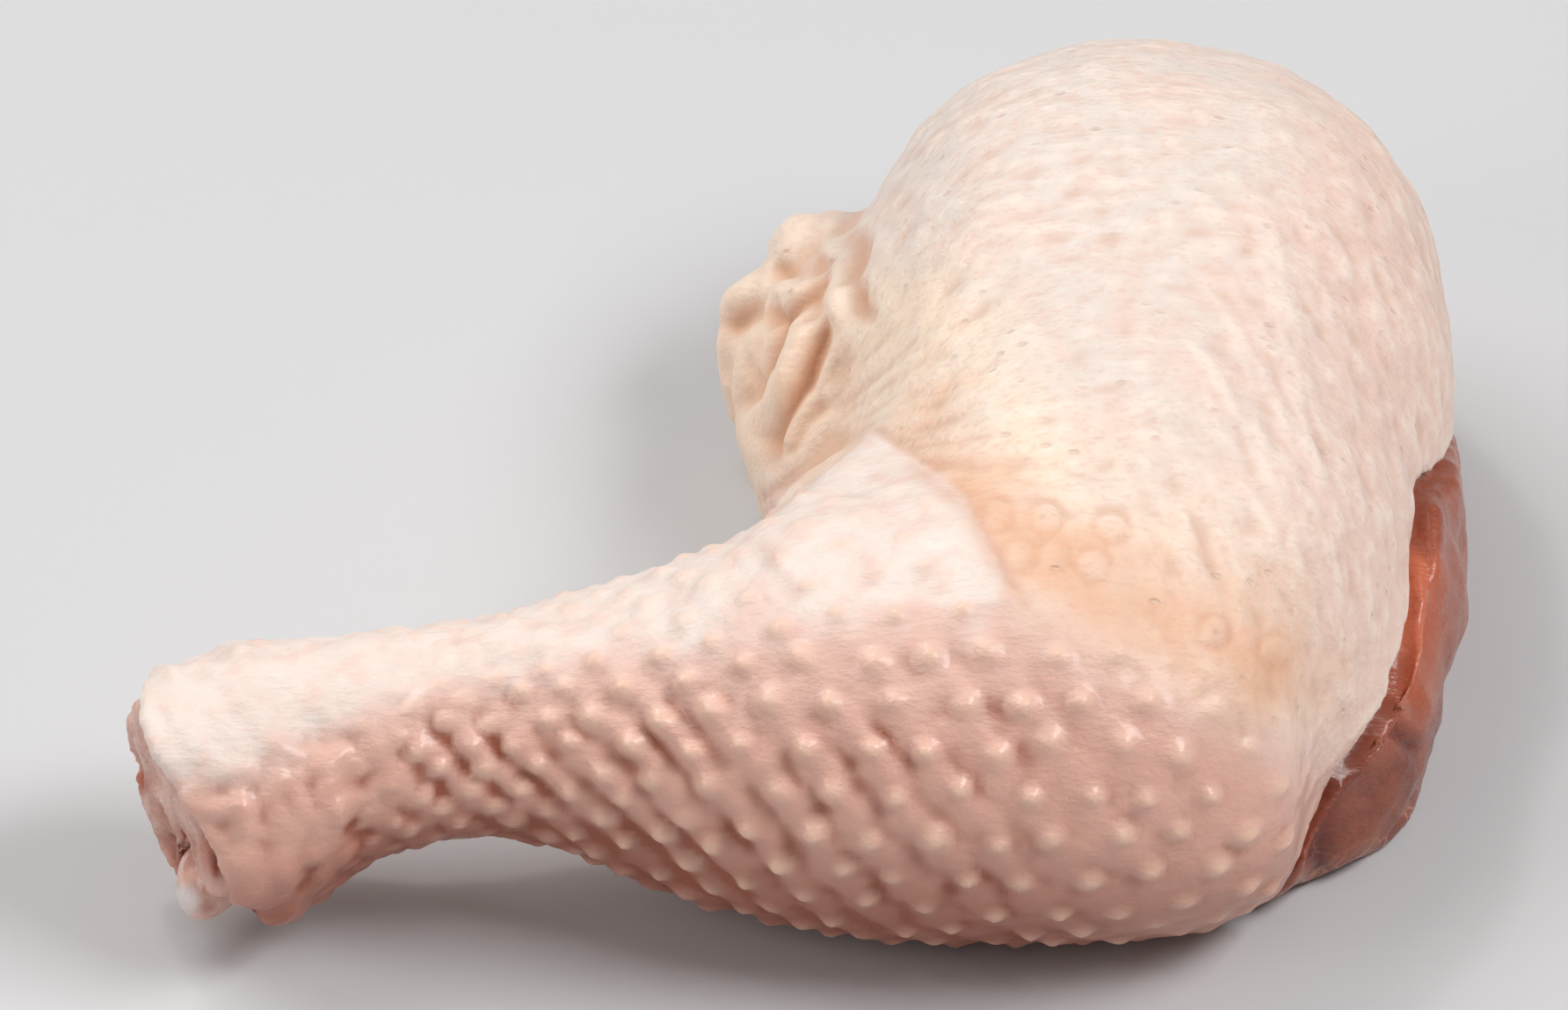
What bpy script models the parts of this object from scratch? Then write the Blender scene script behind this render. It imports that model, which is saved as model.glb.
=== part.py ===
"""A raw chicken leg quarter: drumstick and thigh in one piece, lying skin side up.

Metres, +Z up. X runs from the cut hock end to the knee, and Y from the drumstick to the back of the
thigh. The origin lies on the resting plane, under the middle of the leg.

The whole leg is first one soft form. The skin is a wall that follows it, trimmed away underneath and
on the knee's side, and drawn back from the cut hock. The meat fills the skin with a little clearance
and swells out where it is bare, and the shank bone runs through it to the hock.
"""

import math

import bmesh
import bpy
import numpy as np
from mathutils import Matrix, Vector, noise

MM = 0.001

# Driving sizes, in metres
SKIN_THICKNESS = 2.2 * MM
CLEARANCE = 0.4 * MM
UNEVEN_HEIGHT = 0.6 * MM
UNEVEN_SPREAD = 14 * MM
FOOT_SOFTNESS = 3.5 * MM
FOOT_HEIGHT = 0.3 * MM
NEIGHBOUR_PULL = 0.35

# How finely the form is fused, eased and drawn
BLEND_STEP = 1.8 * MM
BLEND_PASSES = 34
FOLD_STEP = 1.3 * MM
FOLD_PASSES = 4
FORM_TRIANGLES = 3600
SHARP_ANGLE = 50

# The stations below have their origin under the drumstick; the leg moves by this to its own origin
ORIGIN = Vector((-0.001, -0.041, 0.0))

# Drumstick stations from beyond the hock, where it is cut off, to the knee, in millimetres:
# place along X, place along Y, height of the middle, half width, half height
DRUMSTICK = (
    (-92.0, -6.5, 17.4, 8.0, 8.0),
    (-89.5, -6.5, 17.4, 11.4, 11.4),
    (-84.0, -6.5, 17.5, 12.8, 12.8),
    (-77.5, -6.3, 17.8, 14.0, 14.2),
    (-70.0, -5.5, 18.9, 15.5, 15.8),
    (-62.0, -4.5, 19.6, 16.4, 16.6),
    (-51.0, -2.5, 21.6, 14.4, 14.6),
    (-39.0, -0.5, 24.2, 12.8, 12.8),
    (-26.0, 0.5, 24.4, 14.4, 14.5),
    (-13.0, 0.8, 24.0, 18.8, 19.0),
    (0.0, 0.8, 25.0, 24.0, 24.2),
    (17.0, 1.0, 25.8, 27.0, 26.6),
    (36.0, 1.5, 25.5, 27.2, 26.4),
    (50.0, 2.5, 24.0, 25.0, 24.0),
    (59.0, 3.5, 22.5, 19.0, 18.0),
)
DRUMSTICK_CORNERS = 28
DRUMSTICK_STEPS = 4

# Rounded masses of the thigh, in millimetres: middle, half sizes, squareness
THIGH_MASSES = (
    ((42.0, 63.0, 24.0), (35.8, 45.5, 34.6), 2.35),
    ((39.5, 34.0, 23.0), (33.0, 44.0, 33.0), 2.4),
    ((52.0, 34.0, 12.0), (25.0, 35.0, 18.0), 3.0),
    ((13.0, 70.0, 14.0), (18.0, 26.0, 19.0), 2.3),
)
MASS_DETAIL = 4

# Folds of loose skin at the hip, in millimetres: points down the ridge, then its thickness
HIP_FOLDS = (
    (((10.0, 88.0, 25.0), (1.0, 88.0, 25.0), (-4.2, 85.0, 16.0), (-3.0, 81.0, 7.0)), 5.0),
    (((6.0, 80.0, 29.0), (-0.5, 78.0, 23.5), (-4.0, 74.0, 15.0), (-1.0, 70.0, 6.0)), 3.4),
    (((9.0, 72.0, 34.0), (1.8, 72.0, 28.0), (-2.0, 66.0, 18.0), (0.0, 60.0, 9.0)), 3.5),
    (((14.0, 62.0, 40.0), (5.0, 62.0, 32.0), (1.5, 57.0, 24.0), (1.0, 52.0, 12.0)), 3.9),
)
FOLD_BEADS = 9
FOLD_TAPER = 0.25
BEAD_DETAIL = 2

# Where the skin was trimmed and the meat shows, round a middle under the thigh, in degrees and
# millimetres: direction, reach of the trimmed area, height of the skin's edge
TRIM_MIDDLE = Vector((0.040, 0.050, 0.0))
SKIN_TRIM = (
    (-180, 37, 7),
    (-150, 36, 7),
    (-120, 40, 7),
    (-95, 47, 7),
    (-80, 54, 6),
    (-74, 60, 8),
    (-66, 62, 17),
    (-52, 62, 25),
    (-38, 62, 29),
    (-22, 62, 30),
    (0, 62, 26),
    (30, 64, 16),
    (60, 66, 8),
    (90, 66, 6),
    (120, 62, 6),
    (150, 42, 7),
)
TRIM_STEP = 6
TRIM_WAVE = 0.7
TRIM_WAVES = 11
TRIM_FLOOR = -10 * MM
TRIM_CAP = 0.45

# How the bare meat lies: back from the skin's edge, proud of the skin, and prouder at the knee's side
MEAT_SETBACK = 1.2 * MM
MEAT_PROUD = 1.0 * MM
SIDE_MEAT_PROUD = 2.4 * MM
SIDE_DIRECTION = -30
SIDE_SPREAD = 45

# The cut hock end: a point on the cut and the way it faces; the skin has drawn back from it
HOCK_CUT = Vector((-0.0703, -0.0063, 0.019))
HOCK_FACING = Vector((-1, -0.43, -0.11)).normalized()
SKIN_END = Vector((-0.0722, -0.010, 0.032))
SKIN_END_FACING = Vector((-1, -0.15, -0.62)).normalized()
END_BLOCK = 60 * MM

# Round pits in the cut where the tendon sheaths end, in millimetres: middle, radius
SHEATH_PITS = (
    ((-73.8, 2.6, 16.4), 2.4),
    ((-71.6, -3.5, 19.1), 1.8),
    ((-70.4, -4.4, 13.6), 2.6),
    ((-68.6, -10.0, 15.4), 2.6),
)

# The shank bone from its round head at the hock to the knee, in stations like the drumstick's
SHANK_BONE = (
    (-69.0, -9.4, 9.4, 2.2, 1.8),
    (-68.2, -9.4, 9.4, 4.0, 3.3),
    (-66.4, -9.2, 9.6, 5.4, 4.6),
    (-63.5, -8.2, 10.8, 6.0, 5.0),
    (-58.5, -6.0, 14.0, 5.4, 4.6),
    (-48.0, -3.0, 19.5, 4.4, 4.2),
    (-38.0, -0.5, 24.0, 3.6, 3.6),
    (-10.0, 0.5, 25.0, 3.8, 3.8),
    (20.0, 1.0, 26.0, 4.6, 4.6),
    (32.0, 1.5, 26.0, 5.4, 5.4),
)
BONE_CORNERS = 12
BONE_STEPS = 2

# Colour, then roughness
SKIN_LOOK = ((0.83, 0.62, 0.50), 0.40)
MEAT_LOOK = ((0.55, 0.20, 0.14), 0.35)
BONE_LOOK = ((0.86, 0.78, 0.70), 0.40)


def metres(values):
    """A point or a size given in millimetres, as a vector in metres."""
    return Vector(values) * MM


def ease(value, low, high):
    """0 at low and 1 at high, with a smooth way between them."""
    share = min(max((value - low) / (high - low), 0.0), 1.0)
    return share * share * (3 - 2 * share)


def clear_scene():
    for old in list(bpy.data.objects):
        bpy.data.objects.remove(old)


def new_object(name, mesh):
    made = bpy.data.objects.new(name, mesh)
    bpy.context.scene.collection.objects.link(made)
    return made


def object_of(name, bm):
    """An object of the bmesh, which is used up."""
    mesh = bpy.data.meshes.new(name)
    bm.to_mesh(mesh)
    bm.free()
    return new_object(name, mesh)


def apply_modifiers(obj):
    """Keeps the shape that the modifiers make, and drops them."""
    graph = bpy.context.evaluated_depsgraph_get()
    made = bpy.data.meshes.new_from_object(obj.evaluated_get(graph))
    obj.modifiers.clear()
    obj.data = made


def fuse(obj, step, passes):
    """Joins the lumps of a mesh into one surface of even quads, and eases it."""
    remesh = obj.modifiers.new("fuse", "REMESH")
    remesh.mode = "VOXEL"
    remesh.voxel_size = step
    smooth = obj.modifiers.new("ease", "SMOOTH")
    smooth.factor = 0.5
    smooth.iterations = passes
    apply_modifiers(obj)


def combine(obj, operation, helper):
    """Cuts obj by a helper, or joins or crosses it with one, and removes the helper."""
    boolean = obj.modifiers.new("combine", "BOOLEAN")
    boolean.operation = operation
    boolean.solver = "EXACT"
    boolean.object = helper
    apply_modifiers(obj)
    bpy.data.objects.remove(helper)


def between(before, start, end, after, share):
    """A point on the Catmull-Rom curve from start to end."""
    a, b, c, d = (np.array(p) for p in (before, start, end, after))
    return 0.5 * (
        2 * b
        + (c - a) * share
        + (2 * a - 5 * b + 4 * c - d) * share**2
        + (3 * b - a - 3 * c + d) * share**3
    )


def smooth_stations(stations, steps):
    """The stations with others between them, on a smooth curve."""
    padded = [stations[0], *stations, stations[-1]]
    found = []
    for first in range(len(stations) - 1):
        found += [between(*padded[first : first + 4], step / steps) for step in range(steps)]
    return [*found, np.array(stations[-1])]


def add_tube(bm, stations, corners, swell=0.0):
    """A closed tube through upright elliptic rings, larger all round by swell."""
    loops = []
    for index, (x, y, z, half_width, half_height) in enumerate(stations):
        at_end = index in (0, len(stations) - 1)
        beyond = Vector((swell if index else -swell, 0, 0)) if at_end else Vector()
        place = Matrix.Translation(metres((x, y, z)) + beyond)
        turn = Matrix.Rotation(math.radians(90), 4, "Y")
        size = Matrix.Diagonal((1, half_width * MM + swell, half_height * MM + swell, 1))
        ring = bmesh.ops.create_circle(
            bm, cap_ends=at_end, segments=corners, radius=1, matrix=place @ size @ turn
        )["verts"]
        around = set(ring)
        loops.append([e for e in bm.edges if e.verts[0] in around and e.verts[1] in around])
    for one, other in zip(loops, loops[1:]):
        bmesh.ops.bridge_loops(bm, edges=one + other)


def add_mass(bm, middle, half_sizes, squareness):
    """A rounded lump, a little squarer than an ellipsoid."""
    ball = bmesh.ops.create_icosphere(bm, subdivisions=MASS_DETAIL, radius=1)["verts"]
    for vert in ball:
        vert.co /= sum(abs(part) ** squareness for part in vert.co) ** (1 / squareness)
    size = Matrix.Diagonal((*metres(half_sizes), 1))
    bmesh.ops.transform(bm, matrix=Matrix.Translation(metres(middle)) @ size, verts=ball)


def add_bead(bm, middle, radius):
    bmesh.ops.create_icosphere(
        bm, subdivisions=BEAD_DETAIL, radius=radius * MM, matrix=Matrix.Translation(metres(middle))
    )


def add_fold(bm, points, thickness):
    """A ridge of skin: overlapping beads along a smooth line, thinner towards its lower end."""
    line = smooth_stations(points, FOLD_BEADS)
    for index, point in enumerate(line):
        add_bead(bm, point, thickness * (1 - FOLD_TAPER * index / (len(line) - 1)))


def push_out(mesh, reach):
    """Moves each vertex by reach(place), the way that it and its neighbours face."""
    facings = [vert.normal.copy() for vert in mesh.vertices]
    for edge in mesh.edges:
        one, other = (mesh.vertices[index] for index in edge.vertices)
        facings[one.index] += other.normal * NEIGHBOUR_PULL
        facings[other.index] += one.normal * NEIGHBOUR_PULL
    for vert, facing in zip(mesh.vertices, facings):
        vert.co += facing.normalized() * reach(vert.co)


def unevenness(place):
    return UNEVEN_HEIGHT * noise.noise(place / UNEVEN_SPREAD)


def settle(mesh):
    """Presses the underside onto the resting plane: the lower a point lies, the more it gives."""
    lowest = min(vert.co.z for vert in mesh.vertices)
    floor = FOOT_SOFTNESS * math.exp(lowest / FOOT_SOFTNESS - 1)
    for vert in mesh.vertices:
        if vert.co.z < FOOT_SOFTNESS:
            pressed = FOOT_SOFTNESS * math.exp(vert.co.z / FOOT_SOFTNESS - 1) - floor
            vert.co.z = pressed * FOOT_SOFTNESS / (FOOT_SOFTNESS - floor)
        if vert.co.z < FOOT_HEIGHT:
            vert.co.z = 0.0


def make_form():
    """The whole leg with its skin on, as one closed surface with a flat foot."""
    bm = bmesh.new()
    add_tube(bm, smooth_stations(DRUMSTICK, DRUMSTICK_STEPS), DRUMSTICK_CORNERS)
    for mass in THIGH_MASSES:
        add_mass(bm, *mass)
    bmesh.ops.recalc_face_normals(bm, faces=bm.faces)
    form = object_of("form", bm)
    fuse(form, BLEND_STEP, BLEND_PASSES)

    bm = bmesh.new()
    bm.from_mesh(form.data)
    for points, thickness in HIP_FOLDS:
        add_fold(bm, points, thickness)
    bm.to_mesh(form.data)
    bm.free()
    fuse(form, FOLD_STEP, FOLD_PASSES)
    push_out(form.data, unevenness)

    thin = form.modifiers.new("thin", "DECIMATE")
    thin.ratio = FORM_TRIANGLES / (2 * len(form.data.polygons))
    apply_modifiers(form)
    settle(form.data)
    return form


def offset_copy(form, name, reach):
    """A copy of the form with its surface moved out by reach(place)."""
    copy = new_object(name, form.data.copy())
    push_out(copy.data, reach)
    return copy


def trim_at(direction):
    """Reach of the trimmed area and height of the skin's edge in a direction, in metres."""
    degrees, reaches, heights = zip(*SKIN_TRIM, (SKIN_TRIM[0][0] + 360, *SKIN_TRIM[0][1:]))
    turned = (direction + 180) % 360 - 180
    wave = TRIM_WAVE * math.sin(math.radians(TRIM_WAVES * turned))
    reach = np.interp(turned, degrees, reaches) + wave
    height = np.interp(turned, degrees, heights) + wave
    return reach * MM, height * MM


def trim_corners(share, setback, at_floor):
    """The corners of the trimmed space's outline at a share of its reach."""
    corners = []
    for direction in np.arange(0, 360, TRIM_STEP):
        reach, height = trim_at(direction)
        angle = math.radians(direction)
        out = (reach - setback) * share
        level = TRIM_FLOOR if at_floor else height - setback
        corners.append(TRIM_MIDDLE + Vector((math.cos(angle) * out, math.sin(angle) * out, level)))
    return corners


def make_trim(name, setback):
    """The space under the thigh and on the knee's side where the skin is trimmed away."""
    bm = bmesh.new()
    floor, edge, cap = (
        [bm.verts.new(place) for place in trim_corners(share, setback, at_floor)]
        for share, at_floor in ((1.0, True), (1.0, False), (TRIM_CAP, False))
    )
    bm.faces.new(floor)
    bm.faces.new(cap)
    for lower, upper in ((floor, edge), (edge, cap)):
        for index in range(len(lower)):
            after = (index + 1) % len(lower)
            bm.faces.new((lower[index], lower[after], upper[after], upper[index]))
    bmesh.ops.triangulate(bm, faces=bm.faces)
    bmesh.ops.recalc_face_normals(bm, faces=bm.faces)
    return object_of(name, bm)


def make_end_block(name, point, facing):
    """The space beyond a flat cut at the hock."""
    bm = bmesh.new()
    bmesh.ops.create_cube(bm, size=END_BLOCK)
    turn = facing.to_track_quat("Z", "Y").to_matrix().to_4x4()
    place = Matrix.Translation(point + facing * END_BLOCK / 2)
    bmesh.ops.transform(bm, matrix=place @ turn, verts=bm.verts)
    return object_of(name, bm)


def make_pits():
    """The round pits of the tendon sheaths, as one cutter."""
    bm = bmesh.new()
    for middle, radius in SHEATH_PITS:
        add_bead(bm, middle, radius)
    return object_of("pits", bm)


def make_bone(name, swell=0.0):
    """The shank bone with its round head at the hock, larger all round by swell."""
    bm = bmesh.new()
    add_tube(bm, smooth_stations(SHANK_BONE, BONE_STEPS), BONE_CORNERS, swell)
    bmesh.ops.recalc_face_normals(bm, faces=bm.faces)
    return object_of(name, bm)


def make_skin(form):
    """The skin: a wall of even thickness, open where it was trimmed and at the hock."""
    skin = new_object("skin", form.data.copy())
    combine(skin, "DIFFERENCE", offset_copy(form, "skin_inside", lambda place: -SKIN_THICKNESS))
    combine(skin, "DIFFERENCE", make_trim("trim", 0.0))
    combine(skin, "DIFFERENCE", make_end_block("skin_end", SKIN_END, SKIN_END_FACING))
    return skin


def meat_reach(place):
    """How far the bare meat stands out past the skin's outer face."""
    out = place - TRIM_MIDDLE
    direction = math.degrees(math.atan2(out.y, out.x))
    side = ease(SIDE_SPREAD - abs(direction - SIDE_DIRECTION), 0, SIDE_SPREAD)
    return MEAT_PROUD + (SIDE_MEAT_PROUD - MEAT_PROUD) * side


def make_meat(form):
    """The meat: it fills the skin with a little clearance, and swells out where it is bare."""
    meat = offset_copy(form, "meat", lambda place: -SKIN_THICKNESS - CLEARANCE)
    bare = offset_copy(form, "bare_meat", meat_reach)
    for vert in bare.data.vertices:
        vert.co.z = max(vert.co.z, 0.0)
    combine(bare, "INTERSECT", make_trim("trim", MEAT_SETBACK))
    combine(meat, "UNION", bare)
    combine(meat, "DIFFERENCE", make_end_block("hock_cut", HOCK_CUT, HOCK_FACING))
    combine(meat, "DIFFERENCE", make_pits())
    combine(meat, "DIFFERENCE", make_bone("bone_bore", CLEARANCE))
    return meat


def finish(obj, colour, roughness):
    """Moves a piece to the leg's own origin, shades it smooth and gives it its material."""
    mesh = obj.data
    mesh.transform(Matrix.Translation(ORIGIN))
    mesh.shade_smooth()
    mesh.set_sharp_from_angle(angle=math.radians(SHARP_ANGLE))
    material = bpy.data.materials.new(obj.name)
    material.use_nodes = True
    surface = material.node_tree.nodes["Principled BSDF"]
    surface.inputs["Base Color"].default_value = (*colour, 1)
    surface.inputs["Roughness"].default_value = roughness
    mesh.materials.clear()
    mesh.materials.append(material)


def main():
    clear_scene()
    form = make_form()
    finish(make_skin(form), *SKIN_LOOK)
    finish(make_meat(form), *MEAT_LOOK)
    finish(make_bone("shank_bone"), *BONE_LOOK)
    bpy.data.objects.remove(form)


main()
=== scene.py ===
"""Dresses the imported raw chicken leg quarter: skin with feather follicles, bare meat, cut hock.

Metres, +Z up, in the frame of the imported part. X runs from the cut hock end to the knee, and Y from
the drumstick to the back of the thigh. The shapes are worked out in millimetres.
"""

import math

import bmesh
import bpy
import numpy as np
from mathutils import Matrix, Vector, noise
from mathutils.bvhtree import BVHTree


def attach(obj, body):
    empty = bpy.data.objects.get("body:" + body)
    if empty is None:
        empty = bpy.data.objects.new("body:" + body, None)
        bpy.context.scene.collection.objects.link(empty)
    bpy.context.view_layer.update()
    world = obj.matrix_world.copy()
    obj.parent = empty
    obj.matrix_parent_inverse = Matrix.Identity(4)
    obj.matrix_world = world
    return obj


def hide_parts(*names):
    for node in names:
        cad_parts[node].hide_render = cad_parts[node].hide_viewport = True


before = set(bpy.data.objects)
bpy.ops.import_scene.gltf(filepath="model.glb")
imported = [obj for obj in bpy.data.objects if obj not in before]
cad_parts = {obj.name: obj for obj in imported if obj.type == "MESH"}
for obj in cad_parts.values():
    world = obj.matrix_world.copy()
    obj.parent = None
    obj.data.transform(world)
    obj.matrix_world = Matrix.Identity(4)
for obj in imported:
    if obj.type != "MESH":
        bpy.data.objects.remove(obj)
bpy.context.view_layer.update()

bl_info = {
    "name": "Raw chicken leg quarter",
    "version": (1, 0, 0),
    "blender": (4, 5, 0),
    "location": "3D View > Sidebar > Chicken leg",
    "description": "Dresses the leg's solids with moist skin, bare meat and a cut hock",
    "category": "Object",
}

MM = 0.001

# Where the photo shows a point: at PICTURE_MIDDLE, in pixels, it shows the point of the floor that
# lies PICTURE_SHIFT millimetres before the frame's middle, along X and along Y
PIXELS_PER_MM = 5.7
PICTURE_MIDDLE = (470.0, 782.0)
PICTURE_SHIFT = (1.0, 41.0)
VIEW_HEIGHT = math.radians(38)

# The drumstick's middle line, in millimetres: place along X, place along Y, height, radius
DRUMSTICK = np.array((
    (-85.0, -47.5, 17.5, 12.8),
    (-71.0, -46.5, 18.9, 15.6),
    (-63.0, -45.5, 19.6, 16.5),
    (-52.0, -43.5, 21.6, 14.5),
    (-40.0, -41.5, 24.2, 12.8),
    (-27.0, -40.5, 24.4, 14.4),
    (-14.0, -40.2, 24.0, 18.9),
    (-1.0, -40.2, 25.0, 24.1),
    (16.0, -40.0, 25.8, 26.8),
    (35.0, -39.5, 25.5, 26.8),
    (49.0, -38.5, 24.0, 24.5),
    (75.0, -36.0, 22.0, 22.0),
))


def tone(red, green, blue):
    """A colour given as it shows on a screen, 0 to 255, as the linear one that a shader takes."""
    shares = [value / 255 for value in (red, green, blue)]
    return tuple(v / 12.92 if v <= 0.04045 else ((v + 0.055) / 1.055) ** 2.4 for v in shares)


# ---- Numbers over a mesh's points -------------------------------------------------------------


def ease(value, low, high):
    """0 at low and 1 at high, with a smooth way between them."""
    share = np.clip((value - low) / (high - low), 0.0, 1.0)
    return share * share * (3 - 2 * share)


def points_of(mesh):
    """The mesh's points in millimetres, and their normals."""
    places = np.empty(len(mesh.vertices) * 3, np.float32)
    mesh.vertices.foreach_get("co", places)
    normals = np.empty(len(mesh.vertices) * 3, np.float32)
    mesh.vertex_normals.foreach_get("vector", normals)
    return places.reshape(-1, 3).astype(float) / MM, normals.reshape(-1, 3).astype(float)


def put_points(mesh, points):
    mesh.vertices.foreach_set("co", (points * MM).astype(np.float32).ravel())
    mesh.update()


def put_mask(mesh, name, values):
    """Keeps a number for each point, for the material to read."""
    attribute = mesh.attributes.new(name, "FLOAT", "POINT")
    attribute.data.foreach_set("value", np.clip(values, 0.0, 1.0).astype(np.float32))


def grain(points, spread, seed=0.0, depth=2):
    """Smooth noise from about -1 to 1, whose lumps are about spread millimetres apart."""
    spread = np.broadcast_to(np.asarray(spread, float), (3,))
    places = points / spread + seed
    return np.array([noise.fractal(Vector(place), 1.0, 2.0, depth) for place in places])


DOME_WIDTH = 0.45  # of a dome, as a share of the distance between two


def domes(points, spread, where, seed=0.0):
    """Soft round lumps about spread millimetres apart, about 0 to 1 high, where a mask isn't 0."""
    heights = np.zeros(len(points))
    chosen = np.flatnonzero(where > 0.0)
    gaps = np.array([noise.voronoi(Vector(place))[0] for place in points[chosen] / spread + seed])
    heights[chosen] = np.exp(-((gaps / DOME_WIDTH) ** 2)).sum(axis=1)
    return heights


def soften(mesh, vectors, passes):
    """Vectors at the mesh's points, each moved half the way to the mean of its neighbours' ones."""
    edges = np.empty(len(mesh.edges) * 2, np.int32)
    mesh.edges.foreach_get("vertices", edges)
    first, second = edges.reshape(-1, 2).T
    count = len(mesh.vertices)
    neighbours = np.bincount(first, minlength=count) + np.bincount(second, minlength=count)
    neighbours = np.maximum(neighbours, 1)
    columns = vectors.T
    for _ in range(passes):
        sums = [
            np.bincount(first, column[second], count) + np.bincount(second, column[first], count)
            for column in columns
        ]
        columns = 0.5 * columns + 0.5 * np.array(sums) / neighbours
    return columns.T


def hollows(mesh, points, normals, passes):
    """How far each point lies below the softened surface, in millimetres; negative on a ridge."""
    return np.einsum("ij,ij->i", soften(mesh, points, passes) - points, normals)


def in_picture(points):
    """Where points show in the photo, in its pixels."""
    across = PICTURE_MIDDLE[0] + PIXELS_PER_MM * (points[:, 0] + PICTURE_SHIFT[0])
    back = math.sin(VIEW_HEIGHT) * (points[:, 1] + PICTURE_SHIFT[1])
    rise = back + math.cos(VIEW_HEIGHT) * points[:, 2]
    return np.stack([across, PICTURE_MIDDLE[1] - PIXELS_PER_MM * rise], axis=1)


def facing_view(normals):
    """1 where the surface faces the camera, 0 where it shows edge-on, less where it is hidden."""
    return normals @ np.array((0.0, -math.cos(VIEW_HEIGHT), math.sin(VIEW_HEIGHT)))


def away_from(places, spot):
    """Distance of each place from a spot of the photo, in millimetres."""
    return np.linalg.norm(places - np.array(spot), axis=1) / PIXELS_PER_MM


def line_gap(places, line):
    """Each place's distance in millimetres from a line of the photo, its side (1 below a line that
    runs to the right, -1 above it), and how far along the line it lies, 0 to 1."""
    line = np.asarray(line, float)
    lengths = np.linalg.norm(np.diff(line, axis=0), axis=1)
    starts = np.concatenate([[0.0], np.cumsum(lengths)])
    best = np.full(len(places), np.inf)
    side = np.zeros(len(places))
    share = np.zeros(len(places))
    for index, length in enumerate(lengths):
        step = (line[index + 1] - line[index]) / length
        reach = places - line[index]
        along = np.clip(reach @ step, 0.0, length)
        gap = np.linalg.norm(reach - along[:, None] * step, axis=1)
        nearer = gap < best
        best = np.where(nearer, gap, best)
        side = np.where(nearer, np.sign(step[0] * reach[:, 1] - step[1] * reach[:, 0]), side)
        share = np.where(nearer, (starts[index] + along) / starts[-1], share)
    return best / PIXELS_PER_MM, side, share


def stroke(places, seen, line, width):
    """A soft line of the photo, 1 on it and 0 beyond its width, fainter at both ends."""
    gap, _, share = line_gap(places, line)
    taper = ease(share, -0.02, 0.15) * (1 - ease(share, 0.85, 1.02))
    return np.exp(-((gap / width) ** 2)) * (0.25 + 0.75 * taper) * seen


def fold_line(places, line, width):
    """A valley along a line in the photo, with a soft roll on either side and tapered ends."""
    gap, _, share = line_gap(places, line)
    taper = ease(share, -0.02, 0.22) * (1 - ease(share, 0.78, 1.02))
    roll = np.exp(-(((gap - 2.1 * width) / width) ** 2))
    return (np.exp(-((gap / width) ** 2)) - 0.35 * roll) * taper


# ---- Meshes -----------------------------------------------------------------------------------


def new_object(name, mesh):
    made = bpy.data.objects.new(name, mesh)
    bpy.context.scene.collection.objects.link(made)
    return made


def copy_of(node, name):
    """A piece with a CAD node's shape, its loose triangles joined."""
    bm = bmesh.new()
    bm.from_mesh(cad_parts[node].data)
    bmesh.ops.remove_doubles(bm, verts=bm.verts, dist=0.001 * MM)
    mesh = bpy.data.meshes.new(name)
    bm.to_mesh(mesh)
    bm.free()
    return new_object(name, mesh)


RAY_START = 300  # how far before the leg the search for a seen point begins, in millimetres
WEB_SUNK = 0.2  # how far the web's front lies under the skin at its corners, in millimetres


def seen_point(tree, place):
    """The point of a surface that shows at a place of the photo, in millimetres, and the way in."""
    across = (place[0] - PICTURE_MIDDLE[0]) / PIXELS_PER_MM - PICTURE_SHIFT[0]
    rise = (PICTURE_MIDDLE[1] - place[1]) / PIXELS_PER_MM
    sine, cosine = math.sin(VIEW_HEIGHT), math.cos(VIEW_HEIGHT)
    inward = Vector((0.0, cosine, -sine))
    start = Vector((across, rise * sine - PICTURE_SHIFT[1], rise * cosine)) - RAY_START * inward
    hit = tree.ray_cast(start * MM, inward)[0]
    if hit is None:
        raise RuntimeError(f"nothing shows at {place}")
    return hit / MM, inward


def add_web(obj, tree, line, depth):
    """Joins a taut sheet, depth millimetres thick, to the piece, between places of the photo."""
    bm = bmesh.new()
    bm.from_mesh(obj.data)
    corners = []
    for place in line:
        point, inward = seen_point(tree, place)
        corners.append(bm.verts.new((point + WEB_SUNK * inward) * MM))
        corners.append(bm.verts.new((point + depth * inward) * MM))
    made = bmesh.ops.convex_hull(bm, input=corners)
    spare = [item for item in made["geom_interior"] if isinstance(item, bmesh.types.BMVert)]
    bmesh.ops.delete(bm, geom=spare, context="VERTS")
    edges = [item for item in made["geom"] if isinstance(item, bmesh.types.BMEdge)]
    edges = [edge for edge in edges if edge.is_valid]
    bmesh.ops.subdivide_edges(bm, edges=edges, cuts=3, use_grid_fill=True)
    bm.to_mesh(obj.data)
    bm.free()


def keep_modifiers(obj):
    """Keeps the shape that the modifiers make, and drops them."""
    graph = bpy.context.evaluated_depsgraph_get()
    made = bpy.data.meshes.new_from_object(obj.evaluated_get(graph))
    obj.modifiers.clear()
    obj.data = made


def soft_form(obj, step, passes):
    """Rounds a coarse solid and gives it small even faces, step millimetres wide."""
    rounder = obj.modifiers.new("round", "SUBSURF")
    rounder.levels = rounder.render_levels = 2
    remesh = obj.modifiers.new("even", "REMESH")
    remesh.mode = "VOXEL"
    remesh.voxel_size = step * MM
    smooth = obj.modifiers.new("soft", "SMOOTH")
    smooth.factor = 0.5
    smooth.iterations = passes
    keep_modifiers(obj)


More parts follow.
